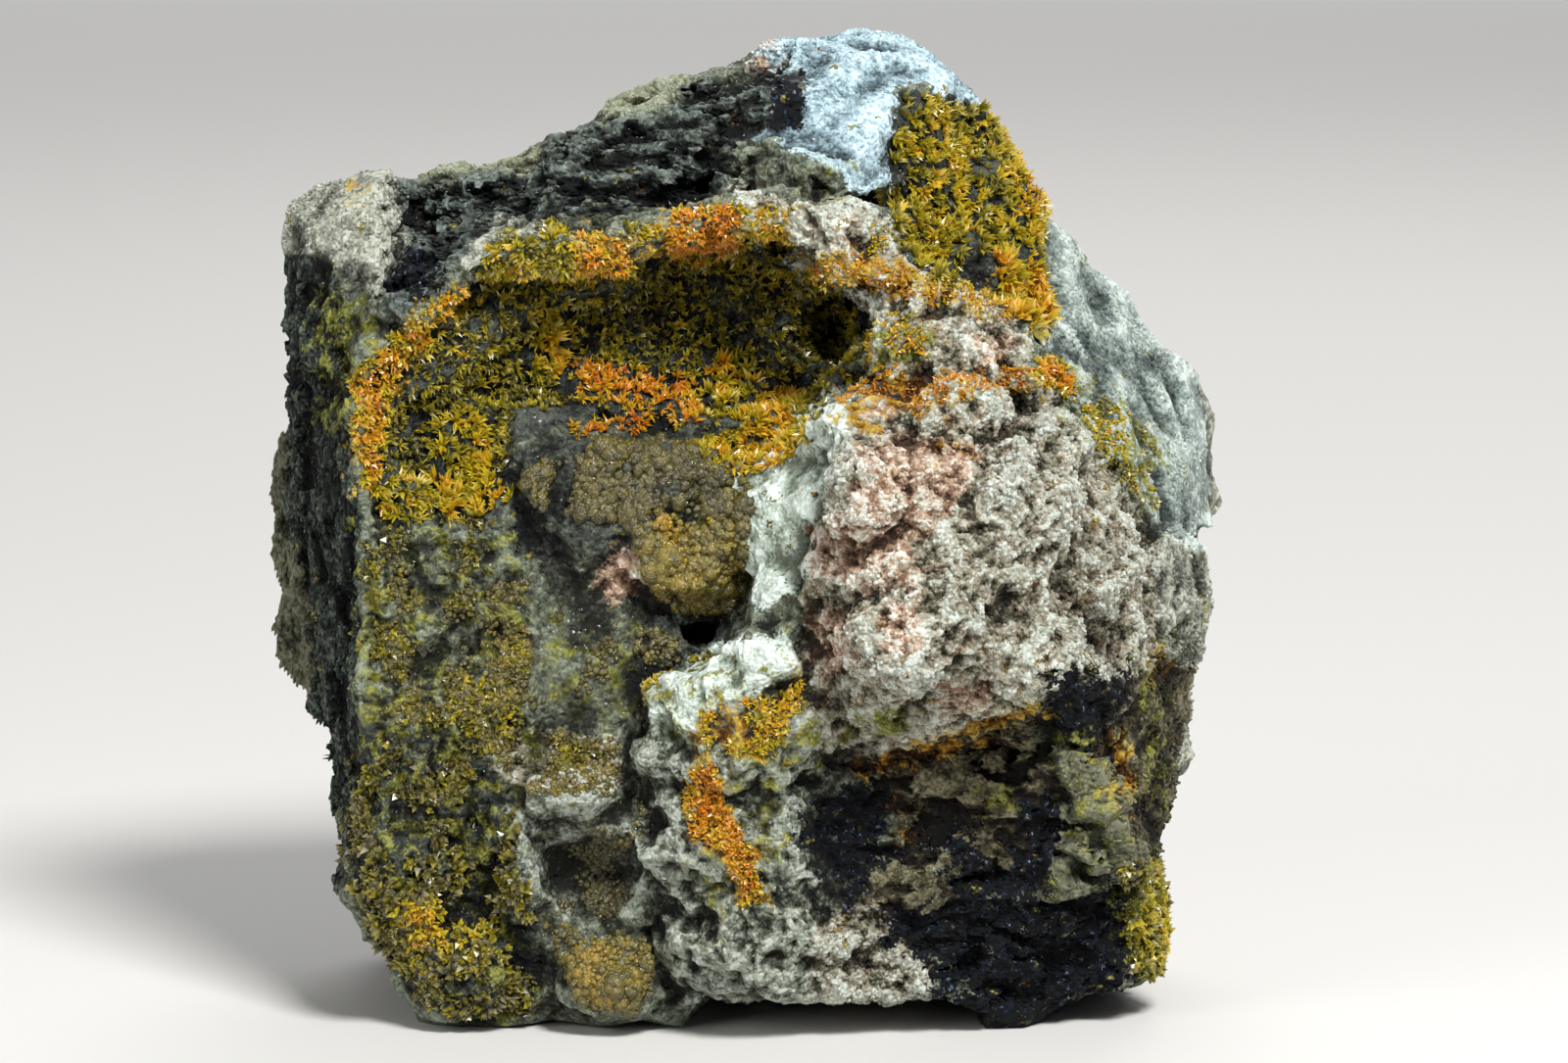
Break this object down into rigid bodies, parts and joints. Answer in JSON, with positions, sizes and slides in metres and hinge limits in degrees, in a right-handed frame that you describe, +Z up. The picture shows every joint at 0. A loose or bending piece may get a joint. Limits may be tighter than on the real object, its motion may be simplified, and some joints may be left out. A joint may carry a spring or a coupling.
{
  "type": "mimetite-pyromorphite specimen",
  "caption": "Hand specimen of grey and white quartz rock with a broken hollow, lined and patched with crusts of golden, orange and olive mimetite-pyromorphite crystals.",
  "frame": {"origin": "middle of the whole bounding box's underside, on the surface that the specimen rests on", "axes": "+Z up; -Y towards the viewer of the broad face, which leans back by 8 degrees; +X to that viewer's right"},
  "size_m": [0.073, 0.0562, 0.0717],
  "materials": {
    "rock": "rough broken grey and white quartz rock",
    "golden_crystal": "glossy golden yellow crystal",
    "orange_crystal": "glossy orange crystal",
    "olive_crystal": "glossy olive yellow crystal",
    "honey_crystal": "resinous honey and grey rounded crystal masses"
  },
  "bodies": {
    "root": {"matrix_rock": "rock", "hollow_crystals": "golden_crystal", "upper_right_crystals": "golden_crystal", "right_edge_crystals": "golden_crystal", "middle_vein_crystals": "orange_crystal", "ridge_crystals": "orange_crystal", "lower_left_crystals": "olive_crystal", "left_face_crystals": "olive_crystal", "right_flank_crystals": "olive_crystal", "centre_botryoids": "honey_crystal", "base_botryoids": "honey_crystal"}
  },
  "joints": []
}
